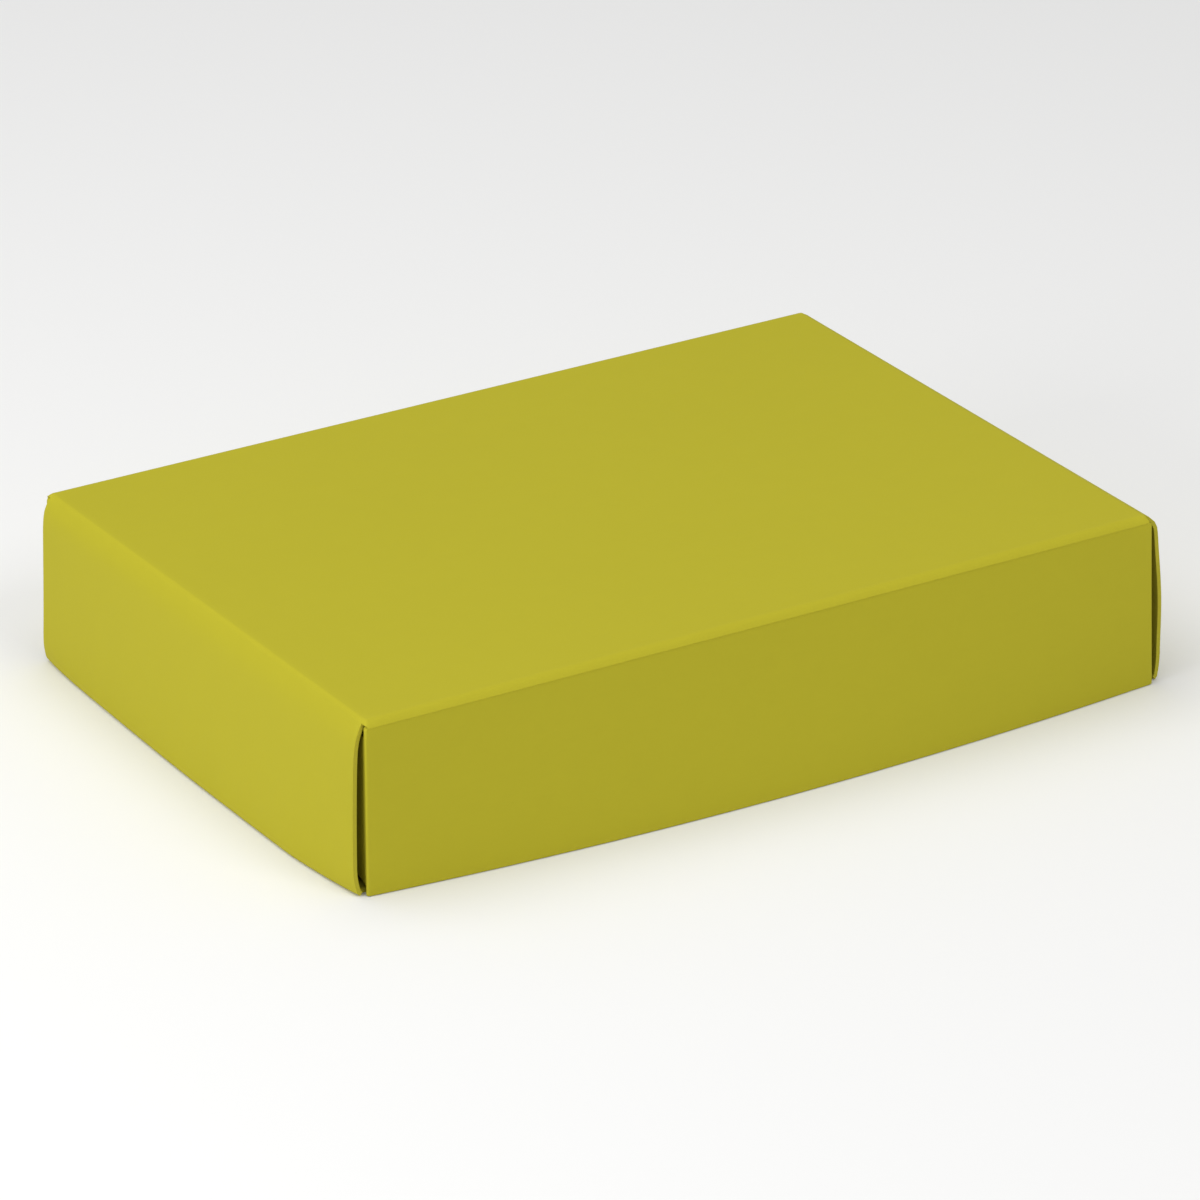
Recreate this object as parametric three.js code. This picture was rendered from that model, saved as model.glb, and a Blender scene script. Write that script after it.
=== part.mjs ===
// A two-piece folding box for a board game: a lift-off lid over a base tray, both folded from heavy card.
// Each piece is a roll-end tray. Its long walls are single panels whose corner flaps tuck into the pockets
// of the double end walls: an outer panel, a rim strip at the open edge and an inner panel.
// Units are millimetres. +X runs along the box, +Y to the back, +Z up, and z = 0 is the underside of the base.

import * as THREE from 'three';

// ---- Driving dimensions -------------------------------------------------------------------------------------

const boxLength = 306;        // outside of the lid, across the top creases of its end walls
const boxWidth = 215;         // outside of the lid, across the top creases of its long walls
const boxHeight = 62;
const card = 1.5;             // thickness of the card
const seam = 0.3;             // clearance between neighbouring panels at a crease
const lidClearance = 1;       // play between the lid and the base, on each side
const lidHem = 0.6;           // height of the lid's lower edge above the table

const lidPocket = 3.8;        // space between the outer and inner panels of the lid's end walls
const basePocket = 1.8;       // the same in the base
const flapLength = 44;        // reach of a corner flap along the end wall

const longWallBow = 9.6;      // how far the lid's long walls bow out, halfway along their lower edge
const longWallFall = 1.1;     // power of the depth: the long walls flare almost evenly on their way down
const freeEdgeInset = 2.6;    // the end walls' free edges stop this far short of the long walls' faces
const shoulder = 3.1;         // how far the end walls' outer panels step out, just below the top
const shoulderDepth = 4;      // depth at which two thirds of that step is done
const freeEdgeFlare = 1.3;    // what the outer panels add by their lower edge, at their free edges
const midFlare = 4.3;         // the same, halfway along
const innerFlare = 4.6;       // how far the inner panels lean out, halfway along their lower edge
const innerFall = 1.5;        // power of the depth for that lean

const cellsAlong = 20;        // facets along a bowed panel
const cellsDown = 12;         // facets down a bowed panel
const arcSteps = 12;          // facets round a flap's curved edge

// ---- Sizes that follow --------------------------------------------------------------------------------------

const lidRoof = boxHeight - card;                             // underside of the lid's top panel
const lidEndWall = 2 * card + lidPocket;
const baseLength = boxLength - 2 * (lidEndWall + lidClearance);
const baseWidth = boxWidth - 2 * (card + lidClearance);
const baseHeight = lidRoof - seam;

// ---- Card ---------------------------------------------------------------------------------------------------

const limeCard = { color: 0xb7b134, roughness: 0.72, metalness: 0 };
const innerLimeCard = { color: 0xa59e3c, roughness: 0.85, metalness: 0 };

const box = new THREE.Group();
const lid = new THREE.Group();
const base = new THREE.Group();
box.add(base, lid);

function addPanel(parent, name, geometry, look) {
  const mesh = new THREE.Mesh(geometry, new THREE.MeshStandardMaterial(look));
  mesh.name = name;
  parent.add(mesh);
}

// A rectangular panel between two opposite corners. With a bow, each of its points is moved by that function.
function panelBetween(low, high, cells = [1, 1, 1], bow = null) {
  const size = high.map((value, axis) => value - low[axis]);
  const geometry = new THREE.BoxGeometry(...size, ...cells);
  geometry.translate(...high.map((value, axis) => (value + low[axis]) / 2));
  if (bow) {
    const points = geometry.attributes.position;
    const point = new THREE.Vector3();
    for (let i = 0; i < points.count; i += 1) {
      point.fromBufferAttribute(points, i);
      bow(point);
      points.setXYZ(i, point.x, point.y, point.z);
    }
  }
  return geometry;
}

// A corner flap, drawn round the end of the crease that its wall folds on. Its corner is rounded about
// that point, so the wall can swing out with the flap sliding in its pocket. `up` is 1 where the flap
// stands up from the crease and -1 where it hangs from it.
function flapOutline(reach, up) {
  const near = card + seam;
  const farDepth = Math.sqrt(reach ** 2 - flapLength ** 2);
  const outline = new THREE.Shape();
  outline.moveTo(near, up * near);
  outline.lineTo(flapLength, up * near);
  outline.lineTo(flapLength, up * farDepth);
  for (let i = 1; i <= arcSteps; i += 1) {
    const along = flapLength + (near - flapLength) * (i / arcSteps);
    outline.lineTo(along, up * Math.sqrt(reach ** 2 - along ** 2));
  }
  return outline;
}

// Stands the flap up in the end wall's pocket, with its crease's end at (y, z) and its outer face at x.
function cornerFlap(sideX, sideY, outerX, creaseY, creaseZ, reach, up) {
  const geometry = new THREE.ExtrudeGeometry(flapOutline(reach, up), { depth: card, bevelEnabled: false });
  const stand = new THREE.Matrix4().makeBasis(
    new THREE.Vector3(0, -sideY, 0),
    new THREE.Vector3(0, 0, 1),
    new THREE.Vector3(-sideY, 0, 0),
  );
  geometry.applyMatrix4(stand);
  geometry.computeBoundingBox();
  const depthOffset = sideX > 0 ? geometry.boundingBox.max.x : geometry.boundingBox.min.x;
  geometry.translate(sideX * outerX - depthOffset, sideY * creaseY, creaseZ);
  return geometry;
}

// ---- How the lid's walls bow --------------------------------------------------------------------------------

function parabola(position, span) {
  return 1 - (2 * position / span) ** 2;
}

function depthShare(z) {
  return (boxHeight - z) / (boxHeight - lidHem);
}

function bowLongWall(sideY) {
  return (point) => {
    const out = longWallBow * parabola(point.x, boxLength) * depthShare(point.z) ** longWallFall;
    point.y += sideY * out;
  };
}

function innerLean(point) {
  return innerFlare * parabola(point.y, boxWidth) * depthShare(point.z) ** innerFall;
}

// The outer panel is folded down over the corner flaps, so it steps out below the top crease and then flares.
function outerStandOff(point) {
  const step = shoulder * (1 - Math.exp(-(((boxHeight - point.z) / shoulderDepth) ** 1.3)));
  const flare = freeEdgeFlare + (midFlare - freeEdgeFlare) * parabola(point.y, boxWidth);
  return step + flare * depthShare(point.z);
}

function bowInnerPanel(sideX) {
  return (point) => {
    point.x += sideX * innerLean(point);
  };
}

function bowOuterPanel(sideX) {
  return (point) => {
    point.x += sideX * outerStandOff(point);
  };
}

// The rim strip spans from the outer panel's lower edge to the inner panel's, between these two distances from
// the middle of the box.
function bowRimStrip(sideX, innerX, outerX) {
  return (point) => {
    const share = (Math.abs(point.x) - innerX) / (outerX - innerX);
    point.x += sideX * (innerLean(point) + (outerStandOff(point) - innerLean(point)) * share);
  };
}

// Puts a low and a high corner in order after a side has mirrored them.
function ordered(a, b) {
  return [a.map((value, axis) => Math.min(value, b[axis])), a.map((value, axis) => Math.max(value, b[axis]))];
}

// ---- Lid ----------------------------------------------------------------------------------------------------

const lidWallTop = lidRoof - seam;

function makeLidTop() {
  const half = [boxLength / 2, boxWidth / 2];
  return panelBetween([-half[0], -half[1], lidRoof], [half[0], half[1], boxHeight]);
}

function makeLidEndWall(side, sideX) {
  const outer = sideX * boxLength / 2;
  const outerInside = outer - sideX * card;
  const inner = outerInside - sideX * lidPocket;
  const innerInside = inner - sideX * card;
  const cells = [1, cellsAlong, cellsDown];

  const freeEdgeY = boxWidth / 2 - freeEdgeInset;
  const outerBox = ordered([outer, -freeEdgeY, lidHem], [outerInside, freeEdgeY, lidWallTop]);
  addPanel(lid, `lid_${side}_outer_panel`, panelBetween(...outerBox, cells, bowOuterPanel(sideX)), limeCard);

  const rimOuter = outerInside - sideX * seam;
  const rimInner = inner + sideX * seam;
  const rimBox = ordered([rimOuter, -freeEdgeY, lidHem], [rimInner, freeEdgeY, lidHem + card]);
  const rimBow = bowRimStrip(sideX, Math.abs(rimInner), Math.abs(rimOuter));
  addPanel(lid, `lid_${side}_rim_strip`, panelBetween(...rimBox, [1, cellsAlong, 1], rimBow), limeCard);

  const innerBox = ordered([inner, -freeEdgeY, lidHem], [innerInside, freeEdgeY, lidWallTop]);
  addPanel(lid, `lid_${side}_inner_panel`, panelBetween(...innerBox, cells, bowInnerPanel(sideX)), limeCard);
}

function makeLidLongWall(side, sideY) {
  const flapOuterX = boxLength / 2 - card - seam;
  const wallBox = ordered(
    [-boxLength / 2, sideY * boxWidth / 2, lidHem],
    [boxLength / 2, sideY * (boxWidth / 2 - card), lidWallTop],
  );
  const cells = [cellsAlong, 1, cellsDown];
  addPanel(lid, `lid_${side}_wall`, panelBetween(...wallBox, cells, bowLongWall(sideY)), limeCard);

  const reach = boxHeight - lidHem - card - 2 * seam;
  for (const [end, sideX] of [['left', -1], ['right', 1]]) {
    const flap = cornerFlap(sideX, sideY, flapOuterX, boxWidth / 2, boxHeight, reach, -1);
    addPanel(lid, `lid_${side}_${end}_flap`, flap, innerLimeCard);
  }
}

// ---- Base ---------------------------------------------------------------------------------------------------

const baseWallFoot = card + seam;
const baseInsideY = baseWidth / 2 - card - seam;

function makeBaseFloor() {
  const half = [baseLength / 2, baseWidth / 2];
  return panelBetween([-half[0], -half[1], 0], [half[0], half[1], card]);
}

function makeBaseEndWall(side, sideX) {
  const outer = sideX * baseLength / 2;
  const outerInside = outer - sideX * card;
  const inner = outerInside - sideX * basePocket;
  const innerInside = inner - sideX * card;

  const outerBox = ordered([outer, -baseWidth / 2, baseWallFoot], [outerInside, baseWidth / 2, baseHeight]);
  addPanel(base, `base_${side}_outer_panel`, panelBetween(...outerBox), limeCard);

  const rimBox = ordered(
    [outerInside - sideX * seam, -baseInsideY, baseHeight - card],
    [inner + sideX * seam, baseInsideY, baseHeight],
  );
  addPanel(base, `base_${side}_rim_strip`, panelBetween(...rimBox), limeCard);

  const innerBox = ordered([inner, -baseInsideY, baseWallFoot], [innerInside, baseInsideY, baseHeight]);
  addPanel(base, `base_${side}_inner_panel`, panelBetween(...innerBox), limeCard);
}

function makeBaseLongWall(side, sideY) {
  const flapOuterX = baseLength / 2 - card - seam;
  const wallBox = ordered(
    [-flapOuterX, sideY * baseWidth / 2, baseWallFoot],
    [flapOuterX, sideY * (baseWidth / 2 - card), baseHeight],
  );
  addPanel(base, `base_${side}_wall`, panelBetween(...wallBox), limeCard);

  const reach = baseHeight - card - 2 * seam;
  for (const [end, sideX] of [['left', -1], ['right', 1]]) {
    const flap = cornerFlap(sideX, sideY, flapOuterX, baseWidth / 2, 0, reach, 1);
    addPanel(base, `base_${side}_${end}_flap`, flap, innerLimeCard);
  }
}

// ---- Assembly -----------------------------------------------------------------------------------------------

addPanel(lid, 'lid_top_panel', makeLidTop(), limeCard);
addPanel(base, 'base_floor_panel', makeBaseFloor(), innerLimeCard);
for (const [side, sideX] of [['left', -1], ['right', 1]]) {
  makeLidEndWall(side, sideX);
  makeBaseEndWall(side, sideX);
}
for (const [side, sideY] of [['front', -1], ['back', 1]]) {
  makeLidLongWall(side, sideY);
  makeBaseLongWall(side, sideY);
}

export default box;
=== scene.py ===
import math

import bmesh
import bpy
import numpy as np
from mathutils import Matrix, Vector


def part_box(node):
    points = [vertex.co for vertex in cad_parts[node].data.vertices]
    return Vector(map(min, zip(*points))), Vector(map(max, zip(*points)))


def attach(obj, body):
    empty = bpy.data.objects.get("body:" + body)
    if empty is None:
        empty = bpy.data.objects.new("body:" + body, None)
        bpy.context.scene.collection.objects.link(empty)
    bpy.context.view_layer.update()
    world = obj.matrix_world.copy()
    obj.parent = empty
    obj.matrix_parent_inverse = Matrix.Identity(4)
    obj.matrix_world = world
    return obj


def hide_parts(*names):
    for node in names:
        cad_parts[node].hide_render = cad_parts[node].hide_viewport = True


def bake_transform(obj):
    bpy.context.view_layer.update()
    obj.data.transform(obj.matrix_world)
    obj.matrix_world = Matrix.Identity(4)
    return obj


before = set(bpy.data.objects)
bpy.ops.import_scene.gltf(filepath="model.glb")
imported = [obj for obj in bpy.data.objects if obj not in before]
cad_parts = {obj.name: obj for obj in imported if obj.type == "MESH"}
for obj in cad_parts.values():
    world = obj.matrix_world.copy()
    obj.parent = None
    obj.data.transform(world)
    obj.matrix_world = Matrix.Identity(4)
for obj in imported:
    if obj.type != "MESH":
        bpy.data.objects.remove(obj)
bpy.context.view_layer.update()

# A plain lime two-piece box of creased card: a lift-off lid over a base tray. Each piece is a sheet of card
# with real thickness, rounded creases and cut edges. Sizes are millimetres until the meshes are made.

MM = 0.001

# ---- Sizes that come from the frame --------------------------------------------------------------

LID_LOW, LID_HIGH = (np.array(corner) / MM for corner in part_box("lid_top_panel"))
BASE_HIGH = np.array(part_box("base_floor_panel")[1]) / MM
HALF_LENGTH = LID_HIGH[0]                     # the lid's top creases
HALF_WIDTH = LID_HIGH[1]
TOP = LID_HIGH[2]
CARD = LID_HIGH[2] - LID_LOW[2]               # thickness of the card
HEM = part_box("lid_front_wall")[0].z / MM      # lower edge of the lid above the table
LID_PANEL_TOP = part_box("lid_left_inner_panel")[1].z / MM
BASE_HALF_LENGTH = BASE_HIGH[0]
BASE_HALF_WIDTH = BASE_HIGH[1]
BASE_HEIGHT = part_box("base_front_wall")[1].z / MM
BASE_END_WALL = BASE_HALF_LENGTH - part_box("base_right_inner_panel")[0].x / MM
BASE_WALL_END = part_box("base_front_wall")[1].x / MM

# ---- Shape of the card ---------------------------------------------------------------------------

LID_POCKET = 3.8              # space between the outer and inner panels of the lid's end walls, at the top
LID_END_WALL = 2 * CARD + LID_POCKET
END_ROLL = 1.5                # outer radius of the lid's left and right top creases
FOLD_ROLL = 1.6               # outer radius of the folds over the end walls' rim strips
FOLD_FLAT = 0.4               # flat card past a fold, up to where the next sheet begins
CORNER_ROLL = 0.6             # outer radius of the creases between a long wall and its corner flaps
SEAM_INSET = 5                # the main panels meet the walls' crease strips this far in, on the flat
FREE_EDGE_INSET = 2.6         # the end walls' free edges stop this far short of the long walls' faces
LID_FOLD_INSET = 3.6          # the end walls' folds and rim strips stop this far short of them
BASE_FOLD_INSET = 2.6
WALL_OVERRUN = (0.6, 1.3)     # the lid's long walls reach this far past its left and right top creases
WALL_SPLAY = (0, 0.7)         # and this much further by their lower edges
LONG_WALL_DROP = 0.3          # the lid's long walls hang this far below its hem
END_WALL_DROP = 0.5           # and its end walls this far
EDGE_CHAMFER = 0.14           # softening of the cut edges
SMALLEST_BEND = 0.25          # inside radius of a tight crease
ARC_STEPS = 6                 # facets round an end wall's creases
TOP_RELIEF = -0.15            # how far the middle of the lid's top sinks

FLAP_LENGTH = 44              # reach of a corner flap along its end wall
FLAP_STUB = 2.4               # the part of a corner flap that belongs to its wall's sheet
FLAP_TURN = 0.9               # a lid flap turns in by this much over its stub
FLAP_TURN_LATER = 1.2         # and by this much beyond it, most of it over the next distance
FLAP_TURN_REACH = 3.2
FLAP_PLAY = 0.35              # gap between a lid flap and its end wall's outer panel
LID_FLAP_START = 6.5          # depth below its crease's end where a flap leaves its wall
LID_FLAP_CLEARANCE = 0.9      # how far its lower end stays off the rim strip
BASE_FLAP_START = 3
BASE_FLAP_CLEARANCE = 0.6
BASE_PANEL_GAP = 0.3          # the base's inner panels hang this far above its floor

# Two points across each lid long crease, in from the wall's face and below the top, where it would start and
# stop turning with its wall. They only fill the bend passed to finish_piece, which does no bending.
BEND_START = (1.7, 0)
BEND_END = (-0.2, 1.9)

LONG_BOW = 9.6                # outward bow of the lid's long walls at their lower edge
LONG_BOW_CENTRE = 8
LONG_BOW_REACH = (161, 164.6)
# A long crease's outer face bulges a little before it meets the wall, with a faint scored groove below.
# Each point is a distance in from the wall's face and a depth below the top.
CREASE_BULGE = [
    (2.7, 0.0), (2.15, 0.07), (1.6, 0.28), (1.1, 0.62), (0.6, 1.08), (0.12, 1.6), (-0.25, 2.08),
    (-0.2, 2.28), (0.02, 2.5), (0.06, 3.0), (0.0, 3.8),
]
RIDGE = 6                     # which of those points stands furthest out: the corners start from it
MID_STAND_OFF = 7.4           # stand-off of the end walls' lower edge, in the middle
INNER_LEAN = 4.6              # lean of the inner panels at their lower edge

# The lid's end walls' outer panels.
# step is the step out below the top crease. start is the depth where it begins, and depth is how softly it
# comes, at the front and at the back.
# edge is the stand-off of the lower edge at the free edges, and belly is their extra bulge halfway down.
# tuck is how far the lower corners turn in.
# reach is how far the free edges go past their inset, towards the long walls, at the top and at the bottom.
# flat_front and flat_back are the distances from the long walls where the lower edge stands out in full.
END_WALLS = {
    "left": {
        "side": -1, "step": 3.1, "start": 0.6, "depth": (5.0, 3.2), "edge": 4.3, "belly": 0.0,
        "tuck": 2.0, "reach": (0.0, 1.5), "flat_front": 37, "flat_back": 105,
    },
    "right": {
        "side": 1, "step": 4.5, "start": 0.3, "depth": (2.2, 2.6), "edge": 6.5, "belly": 1.5,
        "tuck": 1.9, "reach": (1.5, 3.6), "flat_front": 42, "flat_back": 90,
    },
}

OUTSIDE, INSIDE, CUT = 0, 1, 2
EMPTY_CELL, CARD_CELL, OTHER_CELL = 0, 1, 2


# ---- Card sheets ---------------------------------------------------------------------------------

def rounded(corners, radii, steps, cells):
    """Points along a 2-D line of straight runs and arcs. radii has a value for each corner between the ends,
    and cells a count for each straight run."""
    corners = [np.array(c, float) for c in corners]
    runs = [corners[0]]
    arcs = []
    for before, corner, after, radius in zip(corners, corners[1:], corners[2:], radii):
        inward = (before - corner) / np.linalg.norm(before - corner)
        onward = (after - corner) / np.linalg.norm(after - corner)
        half = math.acos(np.clip(inward @ onward, -1, 1)) / 2
        reach = radius / math.tan(half)
        centre = corner + (inward + onward) / np.linalg.norm(inward + onward) * radius / math.sin(half)
        first, last = corner + inward * reach - centre, corner + onward * reach - centre
        turn = math.pi - 2 * half
        shares = np.linspace(0, 1, steps + 1)
        arc = [
            centre + (first * math.sin((1 - s) * turn) + last * math.sin(s * turn)) / math.sin(turn)
            for s in shares
        ]
        arcs.append(arc)
    points = []
    start = runs[0]
    for arc, count in zip(arcs, cells):
        points += [start + (arc[0] - start) * k / count for k in range(count)]
        points += arc[:-1]
        start = arc[-1]
    count = cells[-1]
    points += [start + (corners[-1] - start) * k / count for k in range(count + 1)]
    return np.array(points)


def section(corners, radii, side, steps, cells):
    """Outer and inner points of a bent sheet's section. side is 1 where the card lies left of the line, and
    -1 where it lies right."""
    corners = [np.array(c, float) for c in corners]
    ways = [(b - a) / np.linalg.norm(b - a) for a, b in zip(corners, corners[1:])]
    normals = [np.array((-w[1], w[0])) * side for w in ways]
    inner = [corners[0] + normals[0] * CARD]
    for before, after, corner in zip(normals, normals[1:], corners[1:]):
        inner.append(corner + (before + after) * CARD / (1 + before @ after))
    inner.append(corners[-1] + normals[-1] * CARD)
    inner_radii = [max(r - CARD, SMALLEST_BEND) for r in radii]
    return rounded(corners, radii, steps, cells), rounded(inner, inner_radii, steps, cells)


def sheet(name, outer, inner, keep=None, seams=()):
    """A solid sheet from two grids of points. keep marks the grid's cells: CARD_CELL, EMPTY_CELL, or
    OTHER_CELL for a place that another sheet fills. seams are the sides that meet another sheet face to face.
    The edges that meet nothing are cut ones, with a fine chamfer."""
    rows, cols = outer.shape[:2]
    if keep is None:
        keep = np.full((rows - 1, cols - 1), CARD_CELL)
    cells = np.argwhere(keep == CARD_CELL)
    bm = bmesh.new()
    corners = {}

    def corner(skin, r, c):
        if (skin, r, c) not in corners:
            corners[skin, r, c] = bm.verts.new((outer, inner)[skin][r, c] * MM)
        return corners[skin, r, c]

    r, c = cells[len(cells) // 2]
    across = np.cross(outer[r, c + 1] - outer[r, c], outer[r + 1, c] - outer[r, c])
    flip = across @ (outer[r, c] - inner[r, c]) < 0

    def face(points, material):
        made = bm.faces.new(points[::-1] if flip else points)
        made.material_index = material
        return made

    cut_edges = set()
    steps = ((-1, 0, "first_row"), (0, 1, "last_col"), (1, 0, "last_row"), (0, -1, "first_col"))
    for r, c in cells:
        ring = [(r, c), (r, c + 1), (r + 1, c + 1), (r + 1, c)]
        face([corner(0, *p) for p in ring], OUTSIDE)
        face([corner(1, *p) for p in ring[::-1]], INSIDE)
        for a, b, (down, along, side) in zip(ring, ring[1:] + ring[:1], steps):
            row, col = r + down, c + along
            within = 0 <= row < rows - 1 and 0 <= col < cols - 1
            beyond = keep[row, col] if within else (OTHER_CELL if side in seams else EMPTY_CELL)
            if beyond == CARD_CELL:
                continue
            face([corner(0, *b), corner(0, *a), corner(1, *a), corner(1, *b)], CUT)
            if beyond == EMPTY_CELL:
                cut_edges.update((frozenset(((k,) + a, (k,) + b)) for k in (0, 1)))
    edges = []
    for edge in cut_edges:
        a, b = (corners[key] for key in edge)
        edges.append(bm.edges.get((a, b)))
    order = {e: i for i, e in enumerate(bm.edges)}
    edges.sort(key=lambda e: order[e])
    bmesh.ops.bevel(bm, geom=edges, offset=EDGE_CHAMFER * MM, segments=1, affect="EDGES", clamp_overlap=True)
    for f in bm.faces:
        f.smooth = True
    mesh = bpy.data.meshes.new(name)
    bm.to_mesh(mesh)
    bm.free()
    mesh.set_sharp_from_angle(angle=math.radians(28))
    piece = bpy.data.objects.new(name, mesh)
    bpy.context.scene.collection.objects.link(piece)
    return piece


def store_rest(piece, wear_and_highlight):
    """Keeps the rest coordinates and the crease lightening (rubbing and painted highlight), so that patterns
    stay put when a piece bends.
    """
    mesh = piece.data
    place = np.zeros(len(mesh.vertices) * 3, np.float32)
    mesh.vertices.foreach_get("co", place)
    mesh.attributes.new("rest_place", "FLOAT_VECTOR", "POINT").data.foreach_set("vector", place)
    crease_lightening = wear_and_highlight(place.reshape(-1, 3) / MM).astype(np.float32)
    mesh.attributes.new("crease_wear_and_highlight", "FLOAT", "POINT").data.foreach_set("value", crease_lightening)


def finish_piece(piece, node, wear_and_highlight, body=None, bend=None):
    """Gives a piece its card materials and attributes, and puts it on its body; a piece given a bend only has
    its transform baked into its mesh and stays on no body.
    """
    for material in (MATERIALS["outside"], MATERIALS["inside"], MATERIALS["cut"]):
        piece.data.materials.append(material)
    store_rest(piece, wear_and_highlight)
    if bend:
        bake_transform(piece)
    else:
        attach(piece, body)
    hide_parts(node)


# ---- How the lid's walls bow ---------------------------------------------------------------------

def depth_share(z):
    return np.clip((TOP - z) / (TOP - HEM), 0, 1)


def long_wall_bow(x, z):
    reach = np.where(x < LONG_BOW_CENTRE, *LONG_BOW_REACH)
    arch = 1 - ((x - LONG_BOW_CENTRE) / reach) ** 2
    return LONG_BOW * np.maximum(arch, 0) * depth_share(z) ** 1.1


def soft_minimum(*values, softness=0.25):
    return -softness * np.log(sum(np.exp(-np.asarray(v, float) / softness) for v in values))


def stand_off(end, y, z):
    """How far an end wall's outer face stands out from its top crease's plane."""
    wall = END_WALLS[end]
    depth = TOP - z
    softness = np.interp(y, (-HALF_WIDTH, HALF_WIDTH), wall["depth"])
    rise = 1 - np.exp(-(np.maximum(depth - wall["start"], 0) / softness) ** 1.3)
    gain = MID_STAND_OFF - wall["edge"]
    front = wall["edge"] + gain * np.clip((y + HALF_WIDTH) / wall["flat_front"], 0, 1.5)
    back = wall["edge"] + gain * np.clip((HALF_WIDTH - y) / wall["flat_back"], 0, 1.5)
    lower = soft_minimum(front, back, MID_STAND_OFF)
    share = np.clip(depth - 4, 0, None) / (TOP - HEM - 4)
    edge = (np.abs(y) / HALF_WIDTH) ** 6
    belly = wall["belly"] * edge * np.sin(math.pi * np.clip(share, 0, 1)) ** 2
    tuck = wall["tuck"] * edge ** 1.5 * np.clip(1 - (z - HEM) / 9, 0, 1) ** 2
    return wall["step"] * rise + (lower - wall["step"]) * share ** 0.8 + belly - tuck


def nothing(place, z):
    """Stands in for the bow, reach or overrun of a wall that has none."""
    return np.zeros_like(z)


def free_edge_reach(end, y, z):
    """How far an end wall's free edges reach past their inset, towards the long walls."""
    upper, lower = END_WALLS[end]["reach"]
    below = np.clip((TOP - z - CARD) / 3, 0, 1)
    amount = upper * below + (lower - upper) * depth_share(z) ** 4
    return np.sign(y) * (np.abs(y) / HALF_WIDTH) ** 10 * amount


def inner_lean(y, z):
    return INNER_LEAN * (1 - (y / HALF_WIDTH) ** 2) * depth_share(z) ** 1.5


# ---- Rubbing and painted highlight near the creases ----------------------------------------------

def near(distance, width):
    return np.exp(-(distance / width) ** 2)


def lid_wear_and_highlight(p):
    """Lid lightening, partly rubbing and partly a painted highlight: most at its top corners, then along its
    long creases, then along its end ones.
    """
    high = TOP - p[:, 2]
    end = np.hypot(HALF_LENGTH - np.abs(p[:, 0]), high)
    long = np.hypot(HALF_WIDTH - np.abs(p[:, 1]), high)
    corner = np.hypot(end, HALF_WIDTH - np.abs(p[:, 1]))
    return np.clip(0.2 * near(end, 2.5) + 0.7 * near(long, 2.5) + 0.8 * near(corner, 5), 0, 1)


def base_wear(p):
    """The rubbing on the base's rims and lower creases."""
    end = BASE_HALF_LENGTH - np.abs(p[:, 0])
    long = BASE_HALF_WIDTH - np.abs(p[:, 1])
    low = np.minimum(np.hypot(end, p[:, 2]), np.hypot(long, p[:, 2]))
    return np.clip(0.7 * near(BASE_HEIGHT - p[:, 2], 1.5) + 0.5 * near(low, 3), 0, 1)


# ---- Long walls ----------------------------------------------------------------------------------

def long_wall(
    name, side_y, ends, half_width, crease_z, free_z, nose, end_roll, knuckle, bow, flap_turn, overrun,
):
    """A long wall from its crease strip to its free edge, with the first part of its corner flaps. ends are
    its left and right x at the crease, and overrun says how far past them it reaches at a depth. nose is the
    outline of its crease, which ends at the knuckles. flap_turn is how far the flaps turn in over their first
    part. It is drawn for the front and mirrored for the back."""
    strip_end = knuckle - (SEAM_INSET - end_roll)
    down = 1 if crease_z > free_z else -1
    steps = len(nose) - 1
    rows_out, rows_in = section(
        [(SEAM_INSET, crease_z), (0, crease_z), (0, free_z)], [nose[0][0]], down, steps, [3, 26]
    )
    for i, (inset, depth) in enumerate(nose):
        rows_out[3 + i] = inset, crease_z - down * depth
    first, last = ends
    plan_out, plan_in = section(
        [(first + flap_turn, FLAP_STUB), (first, 0), (last, 0), (last - flap_turn, FLAP_STUB)],
        [CORNER_ROLL, CORNER_ROLL], 1, 5, [2, 84, 2],
    )
    # More columns on each side, where the crease's roll and flat strip end.
    for stop in (-strip_end, -knuckle, knuckle, strip_end):
        at = np.searchsorted(plan_out[7:-7, 0], stop) + 7
        plan_out = np.insert(plan_out, at, (stop, 0), 0)
        plan_in = np.insert(plan_in, at, (stop, CARD), 0)
    outer = np.zeros((len(rows_out), len(plan_out), 3))
    inner = np.zeros_like(outer)
    for grid, rows, plan, level in ((outer, rows_out, plan_out, 0), (inner, rows_in, plan_in, CARD)):
        grid[:, :, 0] = plan[None, :, 0]
        grid[:, :, 1] = -half_width + plan[None, :, 1] + (rows[:, None, 0] - level)
        grid[:, :, 2] = rows[:, None, 1]
        grid[:, :, 1] -= bow(grid[:, :, 0], grid[:, :, 2])
        x = grid[:, :, 0]
        x += np.sign(x) * overrun(np.sign(x), np.abs(crease_z - grid[:, :, 2])) * (np.abs(x) / last) ** 8
    mid_x = np.abs(outer[0, :-1, 0] + outer[0, 1:, 0]) / 2
    mid_z = np.abs((outer[:-1, 0, 2] + outer[1:, 0, 2]) / 2 - crease_z)
    keep = np.full((len(mid_z), len(mid_x)), CARD_CELL)
    keep[np.ix_(mid_z < nose[RIDGE][1], mid_x > knuckle)] = OTHER_CELL
    keep[np.ix_(mid_z < 0.001, mid_x > strip_end)] = OTHER_CELL
    if side_y > 0:
        outer[:, :, 1] *= -1
        inner[:, :, 1] *= -1
    return sheet(name, outer, inner, keep, ("first_row", "first_col", "last_col"))


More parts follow.
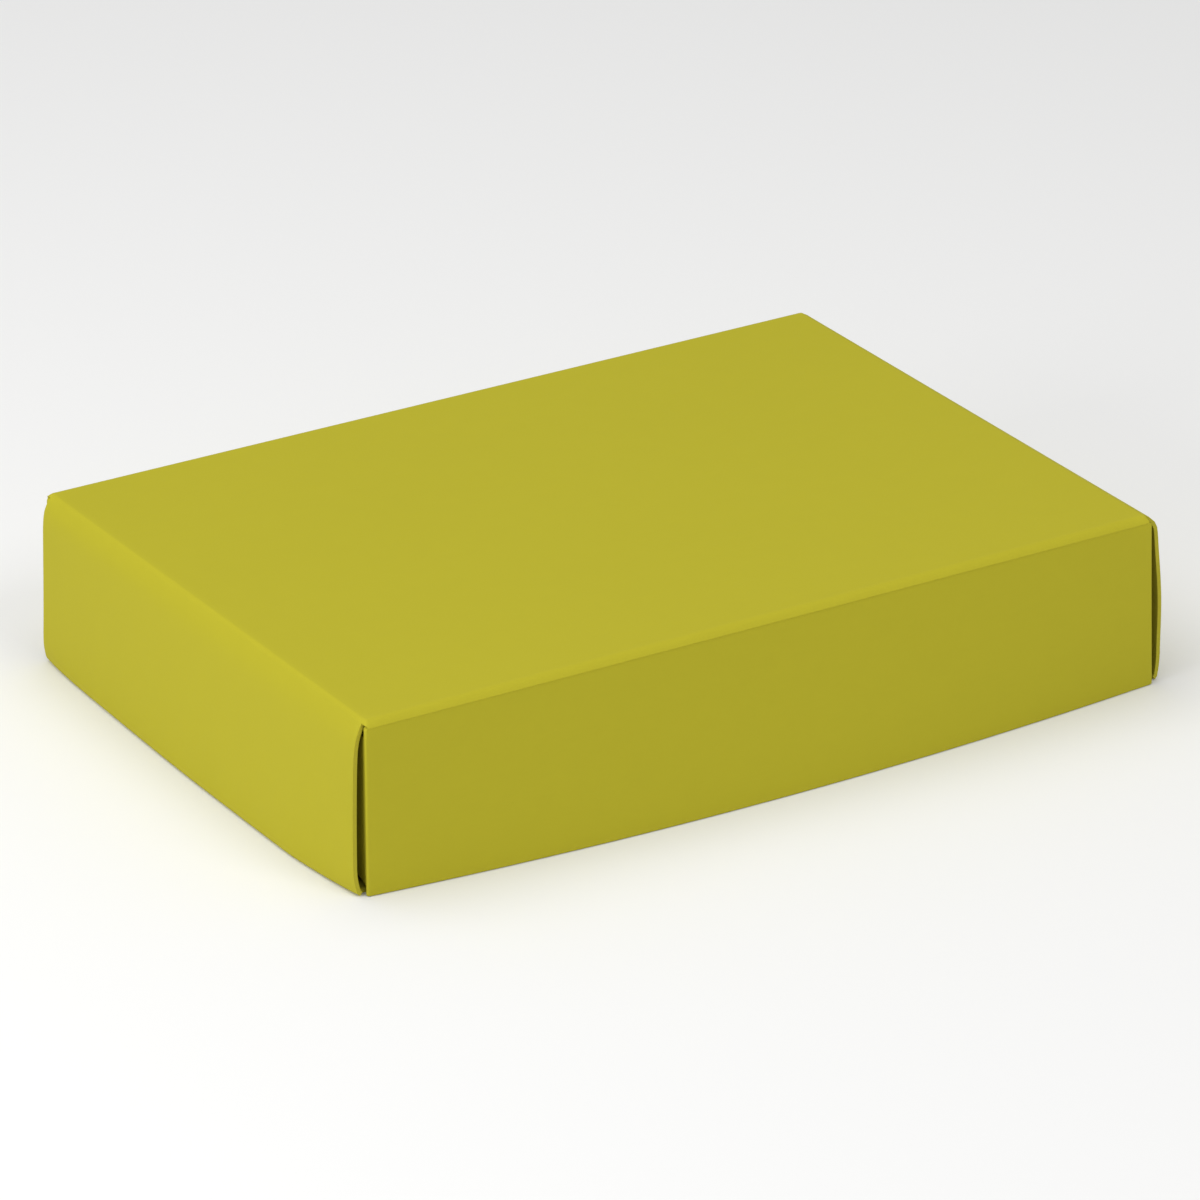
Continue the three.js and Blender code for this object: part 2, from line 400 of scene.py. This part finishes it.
def corner_flap(name, side_x, side_y, crease_y, crease_z, reach, down, gap, place):
    """A corner flap from the end of its wall's sheet to its rounded free corner. gap is the depth where it
    starts, and place gives the x of its outer face at a point, so that it stays in its pocket."""
    along = FLAP_STUB + (FLAP_LENGTH - FLAP_STUB) * np.linspace(0, 1, 22) ** 1.15
    share = np.linspace(0, 1, 16)
    start = gap + 4 * ((along - FLAP_STUB) / FLAP_LENGTH) ** 1.5
    end = np.sqrt(reach ** 2 - along ** 2)
    end = end - 2.5 * np.clip((along - FLAP_LENGTH + 5) / 5, 0, 1) ** 3
    depth = start[None, :] + (end - start)[None, :] * share[:, None]
    y = side_y * (crease_y - np.broadcast_to(along, depth.shape))
    z = crease_z - down * depth
    x = place(np.broadcast_to(along, depth.shape), depth, y, z)
    outer = np.stack([side_x * x, y, z], -1)
    inner = np.stack([side_x * (x - CARD), y, z], -1)
    return sheet(name, outer, inner, None, ("first_col",))


# ---- End walls -----------------------------------------------------------------------------------

def end_columns(half_width, nose):
    """Positions along an end wall: close together at the free edges, and one for each point of the noses."""
    free = half_width - max(FREE_EDGE_INSET, nose[0][0] + 0.1)
    half = free * np.sin(np.linspace(0, math.pi / 2, 27))
    half = np.concatenate([half, [half_width - inset for inset, depth in nose[:RIDGE + 1]]])
    return np.concatenate([-half[:0:-1], half]), free


def outer_panel(name, side_x, half_length, half_width, crease_z, free_z, roll, nose, out, reach, fold_inset):
    """An end wall's outer panel, from the flat strip beside its crease, round the crease, down the wall and
    round the fold at its open edge. The crease's two ends are the box's corners, where it follows the noses
    of the long walls' creases. It is drawn for the left side and mirrored for the right."""
    down = 1 if crease_z > free_z else -1
    flat_rows = 2
    crease_end = flat_rows + ARC_STEPS
    rows_out, rows_in = section(
        [(SEAM_INSET, crease_z), (0, crease_z), (0, free_z), (FOLD_ROLL + FOLD_FLAT, free_z)],
        [roll, FOLD_ROLL], down, ARC_STEPS, [flat_rows, 30, 1],
    )
    y, free = end_columns(half_width, nose)
    outer = np.zeros((len(rows_out), len(y), 3))
    inner = np.zeros_like(outer)
    across = np.repeat(y[None, :], len(rows_out), axis=0)
    level = np.repeat(rows_out[:, 1:2], len(y), axis=1)
    for grid, rows in ((outer, rows_out), (inner, rows_in)):
        grid[:, :, 0] = -half_length + rows[:, None, 0] - out(across, level)
        grid[:, :, 1] = across + reach(across, level)
        grid[:, :, 2] = rows[:, None, 1]
    # The corner knuckles: the crease's section shrinks and drops as it goes round the long wall's nose.
    arc = slice(flat_rows, crease_end + 1)
    for j, (inset, depth) in enumerate(nose[:RIDGE + 1]):
        beta = math.pi / 2 * j / RIDGE
        shrink = 0.8 + 0.2 * math.cos(beta)
        inner_y = half_width - nose[0][0] + (nose[0][0] - CARD) * math.sin(beta)
        for grid, rows, place, drop in (
            (outer, rows_out, half_width - inset, depth),
            (inner, rows_in, inner_y, (nose[0][0] - CARD) * (1 - math.cos(beta))),
        ):
            high, low = rows[flat_rows, 1], rows[crease_end, 1]
            top_z = high - down * drop
            low_z = low - down * max(0, drop - abs(high - low))
            for col in {len(y) - 1 - RIDGE + j, RIDGE - j}:
                start = rows[flat_rows, 0]
                grid[arc, col, 0] = -half_length + start + (rows[arc, 0] - start) * shrink
                grid[arc, col, 1] = math.copysign(place, y[col])
                grid[arc, col, 2] = top_z + (low_z - top_z) * (high - rows[arc, 1]) / (high - low)
    mid_y = np.abs((y[1:] + y[:-1]) / 2)
    row = np.arange(len(rows_out) - 1)
    corner_cols = mid_y > half_width - nose[0][0]
    keep = np.full((len(row), len(mid_y)), CARD_CELL)
    keep[np.ix_(row >= crease_end, mid_y > free)] = EMPTY_CELL
    keep[np.ix_(row >= crease_end, corner_cols)] = OTHER_CELL
    keep[np.ix_(row < flat_rows, corner_cols)] = OTHER_CELL
    # The last rows of the fold are cut back.
    keep[np.ix_(row >= len(row) - 3, mid_y > half_width - fold_inset)] = EMPTY_CELL
    if side_x > 0:
        outer[:, :, 0] *= -1
        inner[:, :, 0] *= -1
    return sheet(name, outer, inner, keep, ("first_row", "last_row"))


def strip_and_panel(side_x, half_length, wall, half_width, open_z, top_z, out, lean, fold_inset, pieces):
    """The rim strip and the inner panel of a double end wall. Their coated side shows inside the box."""
    up = 1 if top_z > open_z else -1
    y = (half_width - fold_inset) * np.sin(np.linspace(-math.pi / 2, math.pi / 2, 47))
    start = FOLD_ROLL + FOLD_FLAT
    stop = wall - FOLD_ROLL - FOLD_FLAT
    outer = np.zeros((5, len(y), 3))
    inner = np.zeros_like(outer)
    shares = np.linspace(0, 1, 5)
    for grid, z in ((outer, open_z), (inner, open_z + up * CARD)):
        for i, share in enumerate(shares):
            level = np.full_like(y, open_z)
            first = start - out(y, level)
            last = stop - lean(y, level)
            grid[i, :, 0] = -half_length + first + (last - first) * share
            grid[i, :, 1] = y
            grid[i, :, 2] = z
    rows_out, rows_in = section(
        [(stop, open_z), (wall, open_z), (wall, top_z)], [FOLD_ROLL], up, ARC_STEPS, [1, 18]
    )
    panel = [np.zeros((len(rows_out), len(y), 3)) for _ in range(2)]
    for grid, rows in zip(panel, (rows_out, rows_in)):
        grid[:, :, 1] = y[None, :]
        grid[:, :, 2] = rows[:, None, 1]
        grid[:, :, 0] = -half_length + rows[:, None, 0]
        grid[:, :, 0] -= lean(grid[:, :, 1], grid[:, :, 2])
    for grid in (outer, inner, *panel):
        grid[:, :, 0] *= -side_x
    strip = sheet(pieces[0], outer, inner, None, ("first_row", "last_row"))
    return strip, sheet(pieces[1], *panel, None, ("first_row",))


def flat_panel(name, half_x, half_y, z_out, z_in, relief):
    """A flat panel inside the crease strips, with a very slight relief that dies out at its sides."""
    x, y = np.meshgrid(np.linspace(-half_x, half_x, 61), np.linspace(-half_y, half_y, 43))
    fade = (1 - (x / half_x) ** 2) ** 2 * (1 - (y / half_y) ** 2) ** 2
    lift = relief * fade
    outer = np.stack([x, y, z_out + lift], -1)
    inner = np.stack([x, y, z_in + lift], -1)
    return sheet(name, outer, inner, None, ("first_row", "last_row", "first_col", "last_col"))


# ---- Materials -----------------------------------------------------------------------------------

def node(tree, kind, inputs=None, **settings):
    made = tree.nodes.new(kind)
    for key, value in settings.items():
        setattr(made, key, value)
    for key, value in (inputs or {}).items():
        if isinstance(value, bpy.types.NodeSocket):
            tree.links.new(value, made.inputs[key])
        else:
            made.inputs[key].default_value = value
    return made


def math_node(tree, operation, *values):
    made = tree.nodes.new("ShaderNodeMath")
    made.operation = operation
    for socket, value in zip(made.inputs, values):
        if isinstance(value, bpy.types.NodeSocket):
            tree.links.new(value, socket)
        else:
            socket.default_value = value
    return made.outputs[0]


def noise(tree, place, size_mm, detail=2.0, roughness=0.5, stretch=(1, 1, 1)):
    """Noise with features about size_mm across. stretch makes them longer along an axis."""
    moved = node(tree, "ShaderNodeMapping", {"Vector": place, "Scale": [1 / s for s in stretch]})
    made = node(
        tree, "ShaderNodeTexNoise",
        {"Vector": moved.outputs[0], "Scale": 1 / (size_mm * MM), "Detail": detail, "Roughness": roughness},
    )
    return made.outputs["Fac"]


def scaled(tree, value, amount):
    """Turns noise about 0.5 into a factor about 1."""
    return math_node(tree, "MULTIPLY_ADD", value, amount * 2, 1 - amount)


def card_material(name, colour, roughness, specular, mottle, grain, bump, wear_and_highlight_gain):
    """Card with fibres, faint mottling and specks. The last argument lightens it along the creases, by
    rubbing and, on the lid, by a painted highlight.
    """
    material = bpy.data.materials.new(name)
    material.use_nodes = True
    tree = material.node_tree
    tree.nodes.clear()
    place = node(tree, "ShaderNodeAttribute", attribute_name="rest_place").outputs["Vector"]
    crease_lightening = node(tree, "ShaderNodeAttribute", attribute_name="crease_wear_and_highlight").outputs["Fac"]
    fine = noise(tree, place, 0.55, 3.0, 0.6)
    fibre = noise(tree, place, 1.6, 4.0, 0.65, (3.5, 1, 1))
    cloud = noise(tree, place, 9.0, 3.0, 0.55)
    broad = noise(tree, place, 70.0, 2.0, 0.5)
    shade = math_node(tree, "MULTIPLY", scaled(tree, fine, grain), scaled(tree, fibre, grain * 0.8))
    shade = math_node(tree, "MULTIPLY", shade, scaled(tree, cloud, mottle))
    shade = math_node(tree, "MULTIPLY", shade, scaled(tree, broad, mottle * 0.7))
    # Sparse darker specks, and a slight lightening along the creases: rubbed card, and on the lid's creases
    # also a painted highlight.
    speck = node(
        tree, "ShaderNodeTexVoronoi", {"Vector": place, "Scale": 1 / (7.0 * MM), "Randomness": 1.0}
    ).outputs["Distance"]
    speck = math_node(tree, "LESS_THAN", speck, 0.045)
    shade = math_node(tree, "SUBTRACT", shade, math_node(tree, "MULTIPLY", speck, mottle * 1.6))
    broken = math_node(tree, "MULTIPLY", crease_lightening, noise(tree, place, 1.1, 3.0, 0.7))
    shade = math_node(tree, "ADD", shade, math_node(tree, "MULTIPLY", broken, wear_and_highlight_gain))
    base = node(tree, "ShaderNodeRGB")
    base.outputs[0].default_value = (*colour, 1)
    tint = node(tree, "ShaderNodeVectorMath", {0: base.outputs[0], "Scale": shade}, operation="SCALE")
    rough = math_node(tree, "MULTIPLY_ADD", fibre, 0.12, roughness - 0.06)
    relief = math_node(tree, "MULTIPLY_ADD", fine, 0.6, fibre)
    bumped = node(tree, "ShaderNodeBump", {"Height": relief, "Strength": bump, "Distance": 0.05 * MM})
    shader = node(
        tree, "ShaderNodeBsdfPrincipled",
        {
            "Base Color": tint.outputs["Vector"], "Roughness": rough, "Specular IOR Level": specular,
            "Normal": bumped.outputs["Normal"],
        },
    )
    node(tree, "ShaderNodeOutputMaterial", {"Surface": shader.outputs[0]})
    return material


MATERIALS = {
    # The coated side's crease lightening is strong enough to paint a highlight along the lid's long creases.
    "outside": card_material(
        "lime_coated_card", colour=(0.466, 0.4205, 0.026), roughness=0.60, specular=0.06,
        mottle=0.012, grain=0.018, bump=0.30, wear_and_highlight_gain=0.12,
    ),
    "inside": card_material(
        "lime_uncoated_card", colour=(0.400, 0.358, 0.030), roughness=0.85, specular=0.10,
        mottle=0.035, grain=0.055, bump=0.9, wear_and_highlight_gain=0.05,
    ),
    "cut": card_material(
        "lime_cut_edge", colour=(0.450, 0.402, 0.034), roughness=0.90, specular=0.06,
        mottle=0.04, grain=0.08, bump=0.8, wear_and_highlight_gain=0.0,
    ),
}


# ---- Lid -----------------------------------------------------------------------------------------

top = flat_panel(
    "lid_top_sheet", HALF_LENGTH - SEAM_INSET, HALF_WIDTH - SEAM_INSET, TOP, TOP - CARD, TOP_RELIEF
)
finish_piece(top, "lid_top_panel", lid_wear_and_highlight, body="lid")


def lid_overrun(side_x, depth):
    """How far the lid's long walls reach past the end walls' top creases."""
    right = side_x > 0
    start = np.where(right, WALL_OVERRUN[1], WALL_OVERRUN[0]) * np.clip(depth - 2, 0, 1)
    return start + np.where(right, WALL_SPLAY[1], WALL_SPLAY[0]) * np.clip(depth / TOP, 0, 1)


for side, side_y in (("front", -1), ("back", 1)):
    wall = long_wall(
        f"lid_{side}_sheet", side_y, (-HALF_LENGTH, HALF_LENGTH), HALF_WIDTH, TOP, HEM - LONG_WALL_DROP,
        CREASE_BULGE, END_ROLL, HALF_LENGTH - END_ROLL, long_wall_bow, FLAP_TURN, lid_overrun,
    )
    bend = (
        "lid", f"lid_{side}",
        (0, side_y * (HALF_WIDTH - BEND_START[0]), TOP - BEND_START[1]),
        (0, side_y * (HALF_WIDTH - BEND_END[0]), TOP - BEND_END[1]),
    )
    finish_piece(wall, f"lid_{side}_wall", lid_wear_and_highlight, bend=bend)
    for end, side_x in (("left", -1), ("right", 1)):
        def place(along, depth, y, z, end=end, side_x=side_x):
            turned = FLAP_TURN + FLAP_TURN_LATER * (1 - np.exp(-(along - FLAP_STUB) / FLAP_TURN_REACH))
            free = HALF_LENGTH + lid_overrun(side_x, depth) - turned
            pocket = HALF_LENGTH - CARD + stand_off(end, y, z) - FLAP_PLAY
            return np.minimum(free, pocket)

        flap = corner_flap(
            f"lid_{side}_{end}_flap_sheet", side_x, side_y, HALF_WIDTH, TOP,
            TOP - HEM - CARD - LID_FLAP_CLEARANCE, 1, LID_FLAP_START, place,
        )
        # The wall bows, so its flaps start where its end is.
        height = np.array([v.co.z for v in flap.data.vertices]) / MM
        moved = side_y * long_wall_bow(np.full_like(height, side_x * HALF_LENGTH), height)
        for vertex, push in zip(flap.data.vertices, moved):
            vertex.co.y += push * MM
        finish_piece(flap, f"lid_{side}_{end}_flap", lid_wear_and_highlight, body=f"lid_{side}")

for end, wall in END_WALLS.items():
    def out(y, z, end=end):
        return stand_off(end, y, z)

    def reach(y, z, end=end):
        return free_edge_reach(end, y, z)

    panel = outer_panel(
        f"lid_{end}_outer_sheet", wall["side"], HALF_LENGTH, HALF_WIDTH, TOP, HEM - END_WALL_DROP, END_ROLL,
        CREASE_BULGE, out, reach, LID_FOLD_INSET,
    )
    finish_piece(panel, f"lid_{end}_outer_panel", lid_wear_and_highlight, body="lid")
    strip, inner_sheet = strip_and_panel(
        wall["side"], HALF_LENGTH, LID_END_WALL, HALF_WIDTH, HEM - END_WALL_DROP, LID_PANEL_TOP,
        out, inner_lean, LID_FOLD_INSET, (f"lid_{end}_rim_sheet", f"lid_{end}_inner_sheet"),
    )
    finish_piece(strip, f"lid_{end}_rim_strip", lid_wear_and_highlight, body="lid")
    finish_piece(inner_sheet, f"lid_{end}_inner_panel", lid_wear_and_highlight, body="lid")


# ---- Base ----------------------------------------------------------------------------------------

floor_sheet = flat_panel(
    "base_floor_sheet", BASE_HALF_LENGTH - SEAM_INSET, BASE_HALF_WIDTH - SEAM_INSET, 0, CARD, 0.0
)
finish_piece(floor_sheet, "base_floor_panel", base_wear, body="base")

BASE_ROLL = 1.8               # outer radius of the long walls' lower creases
BASE_NOSE = [
    (BASE_ROLL * (1 - math.sin(math.pi / 2 * k / RIDGE)), BASE_ROLL * (1 - math.cos(math.pi / 2 * k / RIDGE)))
    for k in range(RIDGE + 1)
]
for side, side_y in (("front", -1), ("back", 1)):
    wall = long_wall(
        f"base_{side}_sheet", side_y, (-BASE_WALL_END, BASE_WALL_END), BASE_HALF_WIDTH, 0, BASE_HEIGHT,
        BASE_NOSE, FOLD_ROLL, BASE_HALF_LENGTH - FOLD_ROLL, nothing, 0, nothing,
    )
    finish_piece(wall, f"base_{side}_wall", base_wear, body="base")
    for end, side_x in (("left", -1), ("right", 1)):
        flap = corner_flap(
            f"base_{side}_{end}_flap_sheet", side_x, side_y, BASE_HALF_WIDTH, 0,
            BASE_HEIGHT - CARD - BASE_FLAP_CLEARANCE, -1, BASE_FLAP_START,
            lambda along, depth, y, z: np.full_like(depth, BASE_WALL_END),
        )
        finish_piece(flap, f"base_{side}_{end}_flap", base_wear, body="base")

for end, side_x in (("left", -1), ("right", 1)):
    panel = outer_panel(
        f"base_{end}_outer_sheet", side_x, BASE_HALF_LENGTH, BASE_HALF_WIDTH, 0, BASE_HEIGHT, FOLD_ROLL,
        BASE_NOSE, nothing, nothing, BASE_FOLD_INSET,
    )
    finish_piece(panel, f"base_{end}_outer_panel", base_wear, body="base")
    strip, inner_sheet = strip_and_panel(
        side_x, BASE_HALF_LENGTH, BASE_END_WALL, BASE_HALF_WIDTH, BASE_HEIGHT, CARD + BASE_PANEL_GAP,
        nothing, nothing, BASE_FOLD_INSET, (f"base_{end}_rim_sheet", f"base_{end}_inner_sheet"),
    )
    finish_piece(strip, f"base_{end}_rim_strip", base_wear, body="base")
    crease_x = BASE_HALF_LENGTH - BASE_END_WALL
    bend = (
        "base", f"base_{end}_inner",
        (side_x * (crease_x + FOLD_ROLL), 0, BASE_HEIGHT), (side_x * crease_x, 0, BASE_HEIGHT - FOLD_ROLL),
    )
    finish_piece(inner_sheet, f"base_{end}_inner_panel", base_wear, bend=bend)


# ---- Camera --------------------------------------------------------------------------------------

AZIMUTH = math.radians(-31.88)
ELEVATION = math.radians(24.59)
DISTANCE = 2.630              # metres from the middle of the box
SHIFT_RIGHT = 0.00123
SHIFT_DOWN = 0.00426
back = Vector((
    math.sin(AZIMUTH) * math.cos(ELEVATION),
    -math.cos(AZIMUTH) * math.cos(ELEVATION),
    math.sin(ELEVATION),
))
right = Vector((math.cos(AZIMUTH), math.sin(AZIMUTH), 0))
up = back.cross(right)
camera = bpy.data.objects.new("camera", bpy.data.cameras.new("camera"))
bpy.context.scene.collection.objects.link(camera)
camera.data.lens = 232
camera.data.sensor_width = 36
camera.data.clip_end = 50
middle = Vector((0, 0, TOP / 2 * MM))
camera.location = middle + back * DISTANCE + right * SHIFT_RIGHT - up * SHIFT_DOWN
camera.rotation_euler = (-back).to_track_quat("-Z", "Y").to_euler()
bpy.context.scene.camera = camera


# ---- Floor and light -----------------------------------------------------------------------------

floor_mesh = bpy.data.meshes.new("studio_floor")
floor_mesh.from_pydata([(-6, -6, 0), (6, -6, 0), (6, 6, 0), (-6, 6, 0)], [], [(0, 1, 2, 3)])
studio_floor = bpy.data.objects.new("studio_floor", floor_mesh)
bpy.context.scene.collection.objects.link(studio_floor)
paper = bpy.data.materials.new("studio_paper")
paper.use_nodes = True
paper_shader = paper.node_tree.nodes["Principled BSDF"]
paper_shader.inputs["Base Color"].default_value = (0.9, 0.9, 0.895, 1)
paper_shader.inputs["Roughness"].default_value = 0.9
paper_shader.inputs["Specular IOR Level"].default_value = 0.1
floor_mesh.materials.append(paper)


def softbox(name, place, size, power, target=(0, 0, 0.03)):
    light = bpy.data.lights.new(name, "AREA")
    light.shape = "RECTANGLE"
    light.size, light.size_y = size
    light.energy = power
    lamp = bpy.data.objects.new(name, light)
    lamp.location = place
    lamp.rotation_euler = (Vector(place) - Vector(target)).to_track_quat("Z", "Y").to_euler()
    bpy.context.scene.collection.objects.link(lamp)


softbox("overhead", (-0.5, 0.2, 2.0), (2.2, 2.4), 24)
softbox("front", (0.3, -1.7, 1.6), (1.0, 0.8), 10.6)
softbox("key", (-1.2, -0.15, 0.45), (0.7, 0.5), 4.35)

world = bpy.data.worlds.new("studio")
world.use_nodes = True
world.node_tree.nodes["Background"].inputs["Color"].default_value = (1, 1, 1, 1)
world.node_tree.nodes["Background"].inputs["Strength"].default_value = 0.425
bpy.context.scene.world = world
bpy.context.scene.view_settings.view_transform = "Standard"
bpy.context.scene.view_settings.look = "None"
